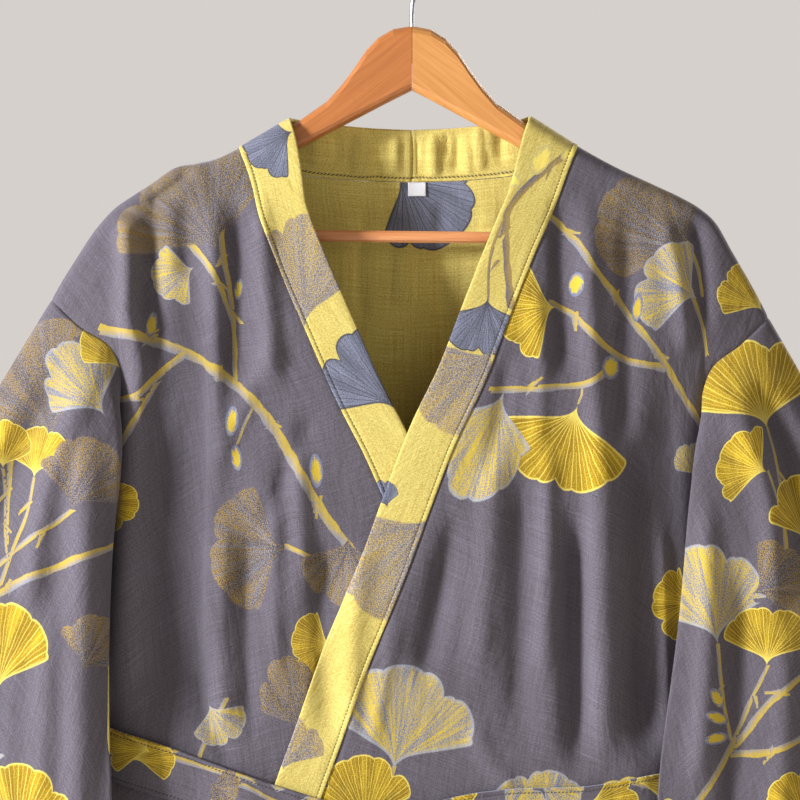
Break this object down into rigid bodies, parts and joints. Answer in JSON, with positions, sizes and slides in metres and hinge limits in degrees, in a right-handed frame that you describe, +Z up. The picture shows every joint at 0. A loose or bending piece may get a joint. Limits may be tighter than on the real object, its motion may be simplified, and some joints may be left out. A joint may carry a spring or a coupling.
{
  "type": "kimono robe on a wooden hanger",
  "caption": "Wrap-front kimono robe with drop-shoulder sleeves, a contrasting neckband and a tied belt, hung open-necked on a wooden hanger with a wire hook.",
  "frame": {"origin": "inner top of the hanger's wire hook, where a rail or wall hook carries it", "axes": "+Z up along the hanger's shank, the robe's front facing -Y, +X to the viewer's right"},
  "size_m": [0.8465, 0.117, 1.2538],
  "materials": {
    "cloth_grey": "matt woven double cloth, charcoal grey with yellow and gold leaves",
    "cloth_yellow": "matt woven double cloth, yellow reverse with grey leaves",
    "label_white": "smooth white tape",
    "wood": "satin varnished, warm orange-brown",
    "wood_red": "satin varnished, reddish",
    "steel": "bright drawn wire"
  },
  "bodies": {
    "root": {"back": "cloth_grey", "front_under": "cloth_grey", "front_over": "cloth_grey", "sleeve_left": "cloth_grey", "sleeve_right": "cloth_grey", "neckband_under": "cloth_yellow", "neckband_over": "cloth_yellow", "belt_round": "cloth_grey", "belt_knot": "cloth_grey", "belt_end_left": "cloth_grey", "belt_end_right": "cloth_grey", "size_label": "label_white", "hanger_arm_left": "wood", "hanger_arm_right": "wood", "hanger_bar": "wood_red", "hanger_hook": "steel"}
  },
  "joints": []
}
